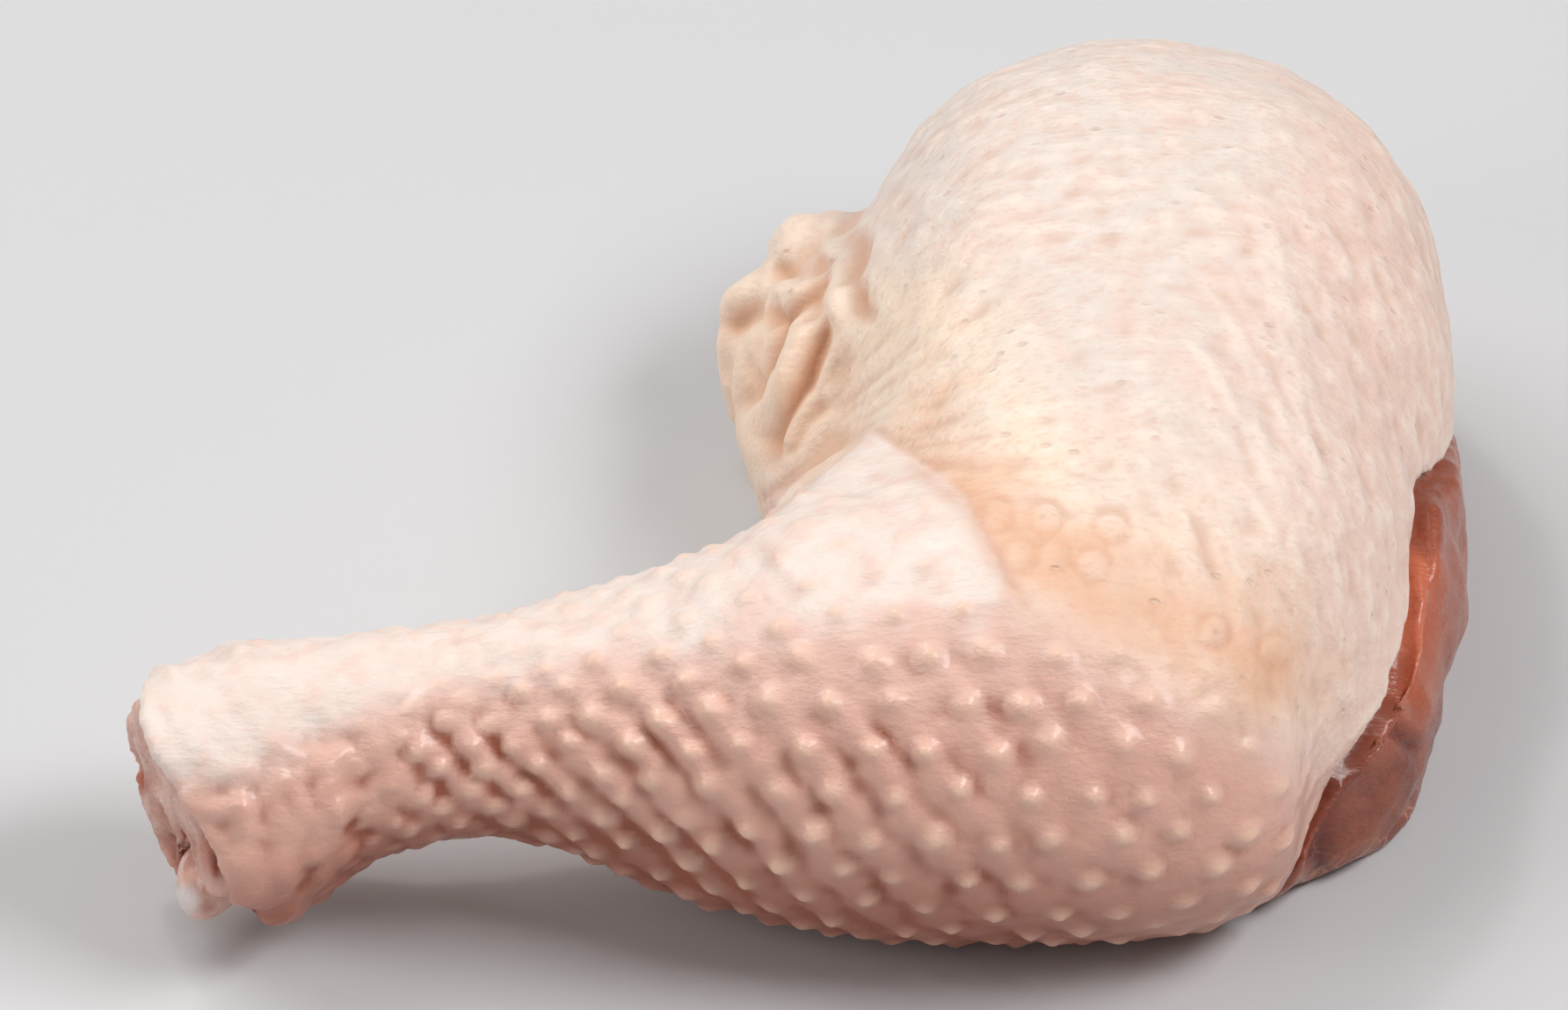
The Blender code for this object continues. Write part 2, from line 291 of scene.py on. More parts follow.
def drop_bubbles(obj):
    """Leaves only the largest closed surface, without the bubbles that a join can shut in."""
    bm = bmesh.new()
    bm.from_mesh(obj.data)
    left = set(bm.verts)
    islands = []
    while left:
        island = {left.pop()}
        front = list(island)
        while front:
            near = {edge.other_vert(vert) for vert in front for edge in vert.link_edges} - island
            island |= near
            front = list(near)
        left -= island
        islands.append(island)
    islands.sort(key=len)
    spare = [vert for island in islands[:-1] for vert in island]
    bmesh.ops.delete(bm, geom=spare, context="VERTS")
    bm.to_mesh(obj.data)
    bm.free()


def tree_of(node):
    """The CAD node's surface, to measure distances from."""
    bm = bmesh.new()
    bm.from_mesh(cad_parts[node].data)
    tree = BVHTree.FromBMesh(bm)
    bm.free()
    return tree


def gap_to(tree, points):
    """Distance of each point from a surface, in millimetres."""
    return np.array([tree.find_nearest(Vector(point * MM))[3] for point in points]) / MM


def thin_out(obj, hidden, share):
    """Leaves share of the piece's faces, by taking them away where hidden is true."""
    group = obj.vertex_groups.new(name="hidden")
    for index in np.flatnonzero(hidden):
        group.add([int(index)], 1.0, "REPLACE")
    thin = obj.modifiers.new("thin", "DECIMATE")
    thin.ratio = share
    thin.vertex_group = group.name
    keep_modifiers(obj)
    obj.vertex_groups.clear()


def paint(obj, material):
    obj.data.shade_smooth()
    obj.data.materials.clear()
    obj.data.materials.append(material)


# ---- Materials --------------------------------------------------------------------------------


class Value:
    """A socket's value in a material, with arithmetic that adds its Math nodes."""

    def __init__(self, shader, socket):
        self.shader = shader
        self.socket = socket

    def math(self, operation, *others):
        values = dict(enumerate((self,) + others))
        return self.shader.node("ShaderNodeMath", {"operation": operation}, values)

    def __add__(self, other):
        return self.math("ADD", other)

    def __sub__(self, other):
        return self.math("SUBTRACT", other)

    def __rsub__(self, other):
        return (self * -1).math("ADD", other)

    def __mul__(self, other):
        return self.math("MULTIPLY", other)

    __radd__ = __add__
    __rmul__ = __mul__

    def span(self, low, high, start=0.0, end=1.0):
        """The value's way from low to high, turned smoothly into one from start to end."""
        settings = {"interpolation_type": "SMOOTHSTEP"}
        values = {0: self, 1: low, 2: high, 3: start, 4: end}
        return self.shader.node("ShaderNodeMapRange", settings, values)


class Shader:
    """A material whose nodes are written as expressions."""

    def __init__(self, name):
        self.material = bpy.data.materials.new(name)
        self.material.use_nodes = True
        self.tree = self.material.node_tree
        self.surface = self.tree.nodes["Principled BSDF"]
        self.place = self.node("ShaderNodeTexCoord", {}, {}, "Object")

    def node(self, kind, settings, values, output=0):
        """Any node: its settings first, then its sockets' values or links."""
        made = self.tree.nodes.new(kind)
        for key, value in settings.items():
            setattr(made, key, value)
        for key, value in values.items():
            self.set(made, key, value)
        return Value(self, made.outputs[output])

    def set(self, node, key, value):
        """Links a socket to a Value, or sets it to a number, a colour or a vector."""
        if isinstance(value, Value):
            self.tree.links.new(value.socket, node.inputs[key])
        elif node.inputs[key].type == "RGBA":
            node.inputs[key].default_value = (*value, 1.0)
        else:
            node.inputs[key].default_value = value

    def mask(self, name):
        return self.node("ShaderNodeAttribute", {"attribute_name": name}, {}, "Fac")

    def mix(self, base, other, share):
        """A colour on its way from base to other."""
        values = {0: share, 6: base, 7: other}  # a Mix node's factor and colours
        return self.node("ShaderNodeMix", {"data_type": "RGBA", "clamp_factor": True}, values, 2)

    def scaled(self, size, turn=(0, 0, 0)):
        """Object coordinates in lumps of size millimetres, the same or different on each axis."""
        size = np.broadcast_to(np.asarray(size, float), (3,))
        scale = tuple(1 / (value * MM) for value in size)
        values = {"Vector": self.place, "Rotation": turn, "Scale": scale}
        return self.node("ShaderNodeMapping", {"vector_type": "POINT"}, values)

    def noise(self, size, detail=2.0, rough=0.5, turn=(0, 0, 0)):
        values = {"Vector": self.scaled(size, turn), "Scale": 1.0}
        values.update({"Detail": detail, "Roughness": rough})
        return self.node("ShaderNodeTexNoise", {}, values)

    def cells(self, size, feature="F1"):
        values = {"Vector": self.scaled(size), "Scale": 1.0}
        return self.node("ShaderNodeTexVoronoi", {"feature": feature}, values)

    def bump(self, height, depth):
        """A normal from a height of 0 to 1 that stands for depth millimetres."""
        values = {"Strength": 1.0, "Distance": depth * MM, "Height": height}
        return self.node("ShaderNodeBump", {}, values)

    def finish(self, **sockets):
        """Sets the surface's sockets, named in small letters with underscores for spaces."""
        for key, value in sockets.items():
            name = key.replace("_", " ").title().replace("Ior", "IOR")
            self.set(self.surface, name, value)
        return self.material


SKIN_GLOW = (1.0, 0.36, 0.2)  # how far red, green and blue light spread in each material
MEAT_GLOW = (1.0, 0.3, 0.2)
BONE_GLOW = (1.0, 0.7, 0.6)


def skin_material(look):
    skin = Shader("moist_skin")
    drum, pale, fat = skin.mask("drumstick"), skin.mask("pale"), skin.mask("fat")
    follicle, hollow, ring = skin.mask("follicle"), skin.mask("hollow"), skin.mask("ring")
    cloud = skin.noise(9.0, 3.0)
    blotch = skin.noise(4.0, 3.0)
    fleck = skin.cells((5.2, 2.6, 3.2))
    fine = skin.noise((1.5, 0.8, 1.0), 4.0, 0.6)
    thick = skin.mix(look.cream, look.blush, cloud.span(0.38, 0.66, 0.0, 0.55))
    thick = skin.mix(thick, look.butter, skin.mask("butter") * cloud.span(0.3, 0.6, 0.6, 1.0))
    thick = skin.mix(thick, look.blush, skin.mask("blush"))
    # Painted shade in the thigh's dips
    thick = skin.mix(thick, look.dash, skin.mask("dip") * 0.65)
    # Painted highlight on the crests of the fine wrinkles
    thick = skin.mix(thick, look.crest, skin.mask("crest") * 0.4)
    # Painted shade where the fine relief is low
    thick = skin.mix(thick, look.dash, fine.span(0.5, 0.35, 0.0, 0.4))
    colour = skin.mix(thick, look.rose, drum)
    colour = skin.mix(colour, look.fat, fat * cloud.span(0.2, 0.8, 0.55, 0.85))
    colour = skin.mix(colour, look.hip, skin.mask("hip"))
    colour = skin.mix(colour, look.pale, pale * blotch.span(0.25, 0.6, 0.65, 1.0))
    # Painted shade in the skin's dips and on the drumstick's lower side
    colour = skin.mix(colour, look.shade_red, hollow * ((drum - pale) * 0.8 + 0.15))
    # Painted shade in the creases of the hip and under the web's edge
    colour = skin.mix(colour, look.crease, skin.mask("crease"))
    colour = skin.mix(colour, look.tip, follicle * 0.9)
    # Follicle marks on the thigh, darkened as painted shade in their pits
    dash = fleck.span(0.05, 0.19, 1.0, 0.0) * skin.noise(7.0).span(0.36, 0.52) * (1 - drum)
    colour = skin.mix(colour, look.dash, dash * 0.45)
    colour = skin.mix(colour, look.fat, ring * 0.35)
    lines = skin.noise((5.0, 0.9, 1.2), 2.0, 0.5, (0.0, 0.3, 0.9))
    height = fine * 0.6 + lines * 0.2 - dash * 0.45
    rough = skin.noise(2.5, 2.0).span(0.3, 0.7, 0.48, 0.62) - (drum - pale) * 0.12
    return skin.finish(
        base_color=colour, roughness=rough, normal=skin.bump(height, 0.42),
        subsurface_weight=look.glow, subsurface_radius=SKIN_GLOW, subsurface_scale=1.5 * MM,
        coat_weight=(drum - pale) * 0.3 + 0.06, coat_roughness=0.16, ior=1.4,
    )


def meat_material(look):
    meat = Shader("wet_meat")
    fibre = meat.noise((14.0, 0.8, 0.8), 3.0, 0.6, (0.0, 0.0, 0.15))
    cloud = meat.noise(10.0, 3.0)
    web = meat.cells((6.0, 3.0, 3.0), feature="DISTANCE_TO_EDGE")
    colour = meat.mix(look.meat, look.meat_light, cloud.span(0.35, 0.65))
    # Painted shade in the meat's dips and gaps, and the dark red of the hock's pits
    colour = meat.mix(colour, look.meat_shade, meat.mask("hollow"))
    colour = meat.mix(colour, look.orange, meat.mask("orange"))
    colour = meat.mix(colour, look.sheath, meat.mask("sheath"))
    colour = meat.mix(colour, look.cartilage, meat.mask("cartilage"))
    colour = meat.mix(colour, look.fat, web.span(0.0, 0.06, 0.45, 0.0) * meat.mask("under"))
    colour = meat.mix(colour, look.meat_light, fibre.span(0.5, 0.75) * 0.25)
    rough = meat.noise(2.0, 2.0).span(0.3, 0.7, 0.24, 0.42)
    return meat.finish(
        base_color=colour, roughness=rough, normal=meat.bump(fibre, 0.35),
        subsurface_weight=0.25, subsurface_radius=MEAT_GLOW, subsurface_scale=2.0 * MM,
        coat_weight=0.3, coat_roughness=0.1, ior=1.42,
    )


def bone_material(look):
    bone = Shader("cartilage")
    cloud = bone.noise(3.0, 3.0)
    colour = bone.mix(look.sheath, look.meat_light, cloud.span(0.4, 0.7, 0.0, 0.6))
    colour = bone.mix(colour, look.cartilage, bone.mask("cartilage"))
    rough = bone.noise(1.5, 2.0).span(0.3, 0.7, 0.2, 0.35)
    return bone.finish(
        base_color=colour, roughness=rough, normal=bone.bump(bone.noise(0.6, 3.0), 0.1),
        subsurface_weight=0.2, subsurface_radius=BONE_GLOW, subsurface_scale=1.0 * MM,
        coat_weight=0.5, coat_roughness=0.1,
    )


# ---- Values that a user may change ------------------------------------------------------------


def colour_value(name, description, default):
    return bpy.props.FloatVectorProperty(
        name=name, description=description, subtype="COLOR", size=3,
        min=0.0, max=1.0, default=default,
    )


def length_value(name, description, default):
    """A small length, in millimetres."""
    return bpy.props.FloatProperty(
        name=name, description=description + ", in millimetres",
        default=default, min=0.0, soft_max=20.0,
    )


def power_value(name, description, default):
    return bpy.props.FloatProperty(
        name=name, description=description, default=default, min=0.0, unit="POWER",
    )


class LEG_PG_form(bpy.types.PropertyGroup):
    """Sizes of the leg's relief."""

    skin_step: length_value("Skin mesh", "Width of the skin's faces", 0.7)
    meat_step: length_value("Meat mesh", "Width of the meat's faces", 0.75)
    follicle_height: length_value("Follicle height", "How far a feather follicle stands up", 1.25)
    follicle_width: length_value("Follicle width", "From the middle of a follicle to its foot", 1.8)
    follicle_spacing: length_value("Follicle spacing", "From one to the next in a row", 7.4)
    fold_height: length_value("Fold height", "Depth of the folds between rows of follicles", 0.75)
    lump_height: length_value("Lump height", "Height of the crumpled skin at the hock", 0.9)
    step_height: length_value("Overlap", "How far the web's edge stands over the thigh's skin", 0.6)


class LEG_PG_look(bpy.types.PropertyGroup):
    """Colours of the leg."""

    cream: colour_value("Cream", "Skin over the thigh", tone(228, 214, 206))
    butter: colour_value("Butter", "Yellower skin by the hip and the fat", tone(246, 222, 200))
    rose: colour_value("Rose", "Thin skin over the drumstick", tone(228, 178, 161))
    blush: colour_value("Blush", "Pinker patches of the skin over the thigh", tone(236, 206, 192))
    pale: colour_value("Pale", "Whitish skin on the top of the drumstick", tone(238, 222, 213))
    fat: colour_value("Fat", "Peach fat under the skin by the knee", tone(228, 174, 140))
    hip: colour_value("Hip", "Folded skin at the hip", tone(246, 215, 190))
    # Painted shade, reddish as the meat shows through the thin skin, mixed into the skin's dips and
    # onto the drumstick's lower side
    shade_red: colour_value("Deep", "Dips in the skin, where the meat shows through", tone(150, 72, 42))
    # Painted shade in the creases between folds of skin and under the web's edge
    crease: colour_value("Crease", "Creases between folds of skin", tone(206, 140, 98))
    # Painted highlight on the tops of the fine wrinkles on the thigh
    crest: colour_value("Crest", "Tops of the fine wrinkles on the thigh", tone(250, 238, 226))
    tip: colour_value("Tip", "Tips of the follicles", tone(240, 203, 180))
    # Colour of the small follicle marks on the thigh, also used as painted shade in their pits and in
    # the thigh's dips
    dash: colour_value("Dash", "Small follicle marks on the thigh", tone(222, 190, 172))
    meat: colour_value("Meat", "Bare meat", tone(120, 54, 38))
    meat_light: colour_value("Light meat", "Thin sheath on the meat", tone(156, 87, 65))
    # Painted shade in the meat's dips and in the gaps between the muscles; in the hock's pits also
    # their dark red
    meat_shade: colour_value("Deep meat", "Gaps between the muscles", tone(104, 40, 30))
    orange: colour_value("Strip", "Fatty strip between the muscles", tone(208, 114, 82))
    sheath: colour_value("Sheath", "Tendon sheaths at the hock", tone(222, 176, 160))
    cartilage: colour_value("Cartilage", "Cartilage on the bone's end", tone(226, 214, 210))
    glow: bpy.props.FloatProperty(
        name="Glow", description="How much light passes through the skin", default=0.22,
        min=0.0, max=1.0, subtype="FACTOR",
    )


class LEG_PG_stage(bpy.types.PropertyGroup):
    """Camera, light and floor."""

    camera_height: bpy.props.FloatProperty(
        name="View height", description="Angle of the camera above the floor",
        default=VIEW_HEIGHT, subtype="ANGLE", unit="ROTATION",
    )
    camera_distance: bpy.props.FloatProperty(
        name="Camera distance", description="From the camera to the leg's middle",
        default=3.0, min=0.3, subtype="DISTANCE", unit="LENGTH",
    )
    picture_span: bpy.props.FloatProperty(
        name="Picture span", description="Width of the picture at the leg's middle",
        default=0.18, min=0.05, subtype="DISTANCE", unit="LENGTH",
    )
    floor: colour_value("Floor", "Plain pale floor", tone(206, 206, 208))
    key_power: power_value("Main light", "Power of the large soft light behind the leg", 5.1)
    side_power: power_value("Side light", "Power of the soft light over the knee", 5.6)
    end_power: power_value("Hock light", "Power of the soft light on the cut end", 1.6)
    glint_power: power_value("Glint light", "Power of the small light for the wet shine", 0.8)
    sky: bpy.props.FloatProperty(
        name="Sky", description="Strength of the even light from all round", default=0.22, min=0.0,
    )


# ---- The skin ---------------------------------------------------------------------------------

# Lines and spots read off the photo, in its pixels
OVERLAP_LINE = (
    (446, 534), (466, 519), (492, 500), (510, 489), (528, 480), (542, 490), (562, 504), (584, 521),
    (596, 540), (606, 560), (622, 592),
)
OVERLAP_TAIL = ((700, 630), (790, 680), (880, 720))  # where thin skin turns into thick with no edge
WEB_CORNERS = (
    (458, 545), (462, 530), (472, 517), (484, 507), (496, 500), (510, 492), (527, 483), (545, 496),
    (566, 512), (592, 540), (596, 566), (545, 560), (500, 556),
)
SHADOW_LINE = ((545, 498), (590, 534), (606, 566), (622, 596))
HIP_VALLEYS = (  # depth and width in millimetres, and the line
    (1.1, 1.2, ((458, 374), (478, 373), (500, 358))),
    (1.0, 1.5, ((426, 414), (446, 404), (470, 396))),
    (1.6, 1.2, ((508, 358), (487, 390), (468, 406), (461, 432), (452, 452), (438, 470))),
    (1.7, 1.2, ((498, 388), (491, 424), (483, 448), (471, 467), (462, 484), (462, 512))),
    (1.0, 1.3, ((523, 342), (515, 376), (524, 414))),
    (0.9, 0.9, ((500, 456), (483, 476), (471, 500))),
)
HIP_CORNER = (440, 357)
HIP_HUB = (462.0, 505.0)  # where the fine lines of the thigh run together
FAT_LINE = ((545, 492), (600, 545), (655, 580), (720, 605), (780, 630))
RINGS = (
    (639, 536), (681, 542), (643, 561), (669, 567), (621, 560), (606, 534), (747, 609), (786, 622),
)

# Lengths in millimetres
WEB_DEPTH = 6.0
HIP_CORNER_REACH = 22.0 / PIXELS_PER_MM
HIP_CORNER_DEPTH = 2.6
RING_REACH, RING_WIDTH = 1.9, 0.5
COVERED_SKIN = 0.95  # skin that lies nearer than this to the meat can't be seen

SKIN_PASSES, SKIN_SHARE, QUICK_SKIN = 18, 0.6, 1.6
SMALL_DIP, WIDE_DIP = 14, 60

# Turns places so that their first axis runs across the lines that lead from the hip to the knee
TURN_TO_KNEE = np.array(((0.92, 0.4, 0.0), (0.4, -0.92, 0.0), (0.0, 0.0, 1.0)))
FAR_SIDE = 3.8  # the angle on the far side that looks as angle 0 does on the near one

# Follicles: rows round the drumstick, and how their spacing, their width and the slant of the
# folds between them change along X, as places and shares
FOLLICLE_ROWS = 30
FOLLICLE_SPACINGS = ((-75, -40, -12, 60), (0.7, 0.74, 0.92, 1.0))
FOLLICLE_WIDTHS = ((-48, -10), (0.72, 1.0))
FOLD_LEANS = ((-50, -15), (0.28, 0.5))

# What scatters them: the numbers that make one key of a row and a place, and those for scattered
ROW_NUMBER, PLACE_NUMBER = 12.9898, 78.233
AHEAD_NUMBERS = (1.0, 43758.5453)
ASIDE_NUMBERS = (1.7, 24634.6345)
SIZE_NUMBERS = (2.3, 13758.5453)


def scattered(key, numbers):
    """Shares from 0 to 1 that look random, always the same for the same key."""
    stretch, scale = numbers
    return np.mod(np.sin(key * stretch) * scale, 1.0)


def drumstick_place(points):
    """Each point's angle round the drumstick, 0 towards the front and a quarter turn at the top,
    counted on over the far side to the bottom, its distance from the drumstick's middle line, and
    that line's usual radius there."""
    along = points[:, 0]
    side = points[:, 1] - np.interp(along, DRUMSTICK[:, 0], DRUMSTICK[:, 1])
    rise = points[:, 2] - np.interp(along, DRUMSTICK[:, 0], DRUMSTICK[:, 2])
    radius = np.interp(along, DRUMSTICK[:, 0], DRUMSTICK[:, 3])
    angle = np.arctan2(rise, -side)
    angle = np.where(angle < -0.5 * math.pi, angle + 2 * math.pi, angle)
    return angle, np.hypot(side, rise), radius


def follicles(part, form):
    """Height, from 0 to 1, of the feather follicles in their rows round the drumstick, and the
    number of the slanting row that each point lies in."""
    table = np.linspace(-90.0, 90.0, 361)
    spacing = np.interp(table, *FOLLICLE_SPACINGS) * form.follicle_spacing
    count = np.concatenate([[0.0], np.cumsum(np.diff(table) / spacing[:-1])])
    place = np.interp(part.along, table, count)
    gap = np.interp(part.along, table, spacing)
    turn = part.angle / (2 * math.pi) * FOLLICLE_ROWS
    nearest = np.full(len(part.along), np.inf)
    for row_step in (-1, 0, 1):
        row = np.floor(turn) + row_step
        shift = np.where(np.mod(row, 2) > 0.5, 0.5, 0.0)
        for place_step in (-1, 0, 1):
            spot = np.floor(place - shift) + place_step + shift
            key = np.mod(row, FOLLICLE_ROWS) * ROW_NUMBER + spot * PLACE_NUMBER
            wobble = scattered(key, AHEAD_NUMBERS) - 0.5
            other = scattered(key, ASIDE_NUMBERS) - 0.5
            ahead = (place - spot - 0.3 * wobble) * gap
            aside = (turn - row - 0.5 - 0.35 * other) * 2 * math.pi * part.radius / FOLLICLE_ROWS
            shrink = 1 + 0.5 * scattered(key, SIZE_NUMBERS)
            nearest = np.minimum(nearest, np.hypot(ahead, aside) * shrink / 1.15)
    row_line = place + np.interp(part.along, *FOLD_LEANS) * (turn - 0.5)
    width = form.follicle_width * np.interp(part.along, *FOLLICLE_WIDTHS)
    foot = np.clip(1 - (nearest / (1.35 * width)) ** 2, 0.0, 1.0) ** 2
    peak = np.clip(1 - (nearest / (0.85 * width)) ** 2, 0.0, 1.0) ** 1.6
    return 0.55 * foot + 0.45 * peak, row_line


class SkinParts:
    """Where each point of the skin lies, and how far, from 0 to 1, it belongs to each part."""

    def __init__(self, points, normals):
        self.points = points
        self.along = points[:, 0]
        self.angle, self.reach, self.radius = drumstick_place(points)
        self.around = np.minimum(self.angle, FAR_SIDE - self.angle)
        self.places = in_picture(points)
        self.facing = facing_view(normals)
        self.seen = ease(self.facing, 0.0, 0.25)
        self.gap, self.side, _ = line_gap(self.places, OVERLAP_LINE + OVERLAP_TAIL)
        self.ankle = ease(self.along, -22.0, -34.0)
        self.hock = ease(self.along, -40.0, -52.0)
        self.knee = ease(self.places[:, 0] + 0.5 * self.places[:, 1], 880, 1020)
        self.web = self.find_web()
        self.drum = np.maximum(self.find_drumstick(), self.web)
        self.thigh = 1 - self.drum
        self.top = self.find_top()
        self.front = 1 - self.top

    def find_web(self):
        """The taut sheet of pale skin from the drumstick's top up to the thigh."""
        across, down = self.places.T
        web = ease(self.gap * self.side, -0.3, 0.5) * self.seen
        web = web * ease(across, 452, 466) * ease(across, 640, 600)
        return web * ease(down, 640, 600)

    def find_drumstick(self):
        """The drumstick's thin skin, with a sharp border at the web and a wide one at the knee."""
        near = ease(self.reach - self.radius, 9.0, 2.0)
        soft = 1 - ease(self.places[:, 0], 640, 590)
        below = ease(self.gap * self.side, -1.0 - 3.5 * soft, 1.0 + 6.0 * soft)
        shown = near * np.where(self.along < -8, 1.0, below) * ease(self.along, 78.0, 52.0)
        return np.where(self.around < -0.5, near * ease(self.along, 74.0, 50.0), shown)

    def find_top(self):
        """The drumstick's pale top, which reaches further down at the hock."""
        patches = 0.16 * grain(self.points, 8.0, 3.0, 3)
        lower = 0.45 * ease(self.along, -38.0, -66.0)
        top = ease(self.around + patches + lower, 0.88, 1.5)
        return np.maximum(top, self.web * ease(self.places[:, 1], 605, 580))


def drumstick_relief(part, form):
    """Height of the drumstick's skin in millimetres, and that of its follicles, from 0 to 1."""
    bump, row_line = follicles(part, form)
    strength = part.drum * (0.5 + 0.5 * part.front) * (1 - 0.3 * part.ankle) * (1 - 0.8 * part.hock)
    strength *= 0.45 + 0.55 * ease(part.around, -0.9, 0.1)
    strength *= 1 - 0.9 * part.web * ease(part.reach - part.radius, -1.0, 2.5)
    follicle = bump * strength * (0.85 + 0.35 * grain(part.points, 9.0, 11.0))

    row_line = row_line + 0.20 * grain(part.points, 11.0, 31.0)
    fold = 0.5 - 0.5 * np.cos(2 * math.pi * row_line)
    lower = ease(part.around, 1.2, 0.55) * ease(part.along, 46.0, 6.0)
    patchy = np.clip(0.8 + 0.5 * grain(part.points, 12.0, 37.0), 0.4, 1.2)
    folds = form.fold_height * fold * part.drum * (0.12 + 0.88 * lower) * patchy
    folds *= (1 - 0.3 * part.ankle) * (1 - 0.9 * part.hock)

    round_place = np.stack([part.along, part.angle * part.radius, part.reach * 0.3], axis=1)
    wrinkle = grain(round_place, (3.4, 10.0, 9.0), 5.0, 2)
    wrinkles = 0.45 * wrinkle * part.ankle * (0.35 + 0.65 * part.front)
    small = domes(part.points, 2.2, part.hock, 15.0)
    lump = domes(part.points, 3.7, part.hock, 2.0) + 0.45 * small - 0.7
    lumps = form.lump_height * lump + 1.1 * grain(part.points, 9.0, 25.0, 1)
    lumps *= part.hock * (0.15 + 0.85 * part.front)
    drawn = grain(round_place @ TURN_TO_KNEE, (2.6, 9.0, 6.0), 8.0, 1)
    top_crumple = 0.85 * drawn + 0.5 * grain(round_place, 6.0, 18.0, 1)
    top_crumple *= (0.35 + 0.65 * part.ankle) * part.top * part.drum
    heel = ease(part.along, -48.0, -60.0) * ease(part.angle, 0.5, -0.3)
    height = form.follicle_height * follicle - folds + wrinkles + lumps + top_crumple + 2.2 * heel
    return height, follicle


def border_relief(part, form):
    """Height in millimetres of the web's edge over the thigh, and the groove under that edge, whose
    mask also paints shade into the skin's colour.
    """
    edge = ease(part.gap * part.side, -0.4, 0.6) * ease(part.gap, 9.0, 1.0) * part.seen
    edge = edge * (1 - ease(part.places[:, 0], 605, 640)) * ease(part.places[:, 0], 430, 470)
    crease = stroke(part.places, part.seen, SHADOW_LINE, 1.3)
    crease += 0.8 * stroke(part.places, part.seen, OVERLAP_LINE[:5], 1.3)
    return form.step_height * edge - 0.25 * crease, crease


def hip_relief(part):
    """Depth in millimetres of the valleys at the hip, and of the dent at its corner."""
    lines = sum(depth * fold_line(part.places, line, width) for depth, width, line in HIP_VALLEYS)
    near = ease(part.along, -16.0, -6.0) * (1 - ease(part.along, 14.0, 26.0))
    near *= ease(part.points[:, 1], -24.0, -12.0)
    corner = np.exp(-((away_from(part.places, HIP_CORNER) / HIP_CORNER_REACH) ** 2)) * near
    return lines * ease(part.facing, -0.5, 0.1), HIP_CORNER_DEPTH * corner


def ring_relief(part):
    """The ring marks on the thigh: the low dome inside each, and the ring round it, from 0 to 1."""
    dome, ring = np.zeros((2, len(part.along)))
    for spot in RINGS:
        away = away_from(part.places, spot)
        dome += np.clip(1 - (away / RING_REACH) ** 2, 0.0, 1.0) * part.seen
        ring += np.exp(-(((away - RING_REACH) / RING_WIDTH) ** 2)) * part.seen
    return dome, ring


def thigh_relief(part):
    """Height in millimetres of the thigh's fine lines, which fan out from the hip, run level over
    the middle and lead down to the knee, and of the soft swells under all of the skin."""
    draw = grain(part.points @ TURN_TO_KNEE, (3.3, 11.0, 7.0), 21.0, 3)
    hub = part.places - np.array(HIP_HUB)
    reach = np.hypot(hub[:, 0], hub[:, 1])
    turned = np.arctan2(-hub[:, 1], hub[:, 0])
    fan_place = np.stack([turned * 24.0, reach / 60, part.points[:, 2] * 0.1], axis=1)
    fan = ease(reach, 260, 130) * ease(reach, 40, 80)
    level = grain(part.points, (7.5, 2.3, 3.0), 41.0, 2)
    rays = grain(fan_place, (1.9, 1.0, 9.0), 51.0, 2)
    upper = 0.30 * level * (1 - fan) + 0.5 * rays * fan
    flow = 0.55 * draw * part.knee + upper * (1 - part.knee)
    lines = flow * part.thigh * (0.65 + 0.7 * grain(part.points, 16.0, 61.0))
    swell = 0.35 * grain(part.points, 13.0, 1.0, 2) + 0.24 * grain(part.points, 4.2, 71.0, 2)
    return lines + swell


def shape_skin(obj, form):
    """Moves the outside of the skin into its follicles, wrinkles and folds, and keeps its masks."""
    mesh = obj.data
    points, normals = points_of(mesh)
    outer = ease(gap_to(tree_of("meat"), points), 1.1, 2.0)
    steady = soften(mesh, normals, 3)
    steady /= np.linalg.norm(steady, axis=1)[:, None]
    part = SkinParts(points, steady)
    height, follicle = drumstick_relief(part, form)
    border, crease = border_relief(part, form)
    valley, corner = hip_relief(part)
    dome, ring = ring_relief(part)
    height = height + border - valley - corner + 0.4 * dome - 0.12 * ring + thigh_relief(part)
    points += steady * (outer * height)[:, None]
    put_points(mesh, points)

    for name, values in skin_masks(mesh, part).items():
        put_mask(mesh, name, values)
    put_mask(mesh, "follicle", follicle)
    # Painted shade along the hip's valleys and under the web's edge
    put_mask(mesh, "crease", valley * 0.45 + crease * 0.3)
    put_mask(mesh, "ring", ring * 0.6)


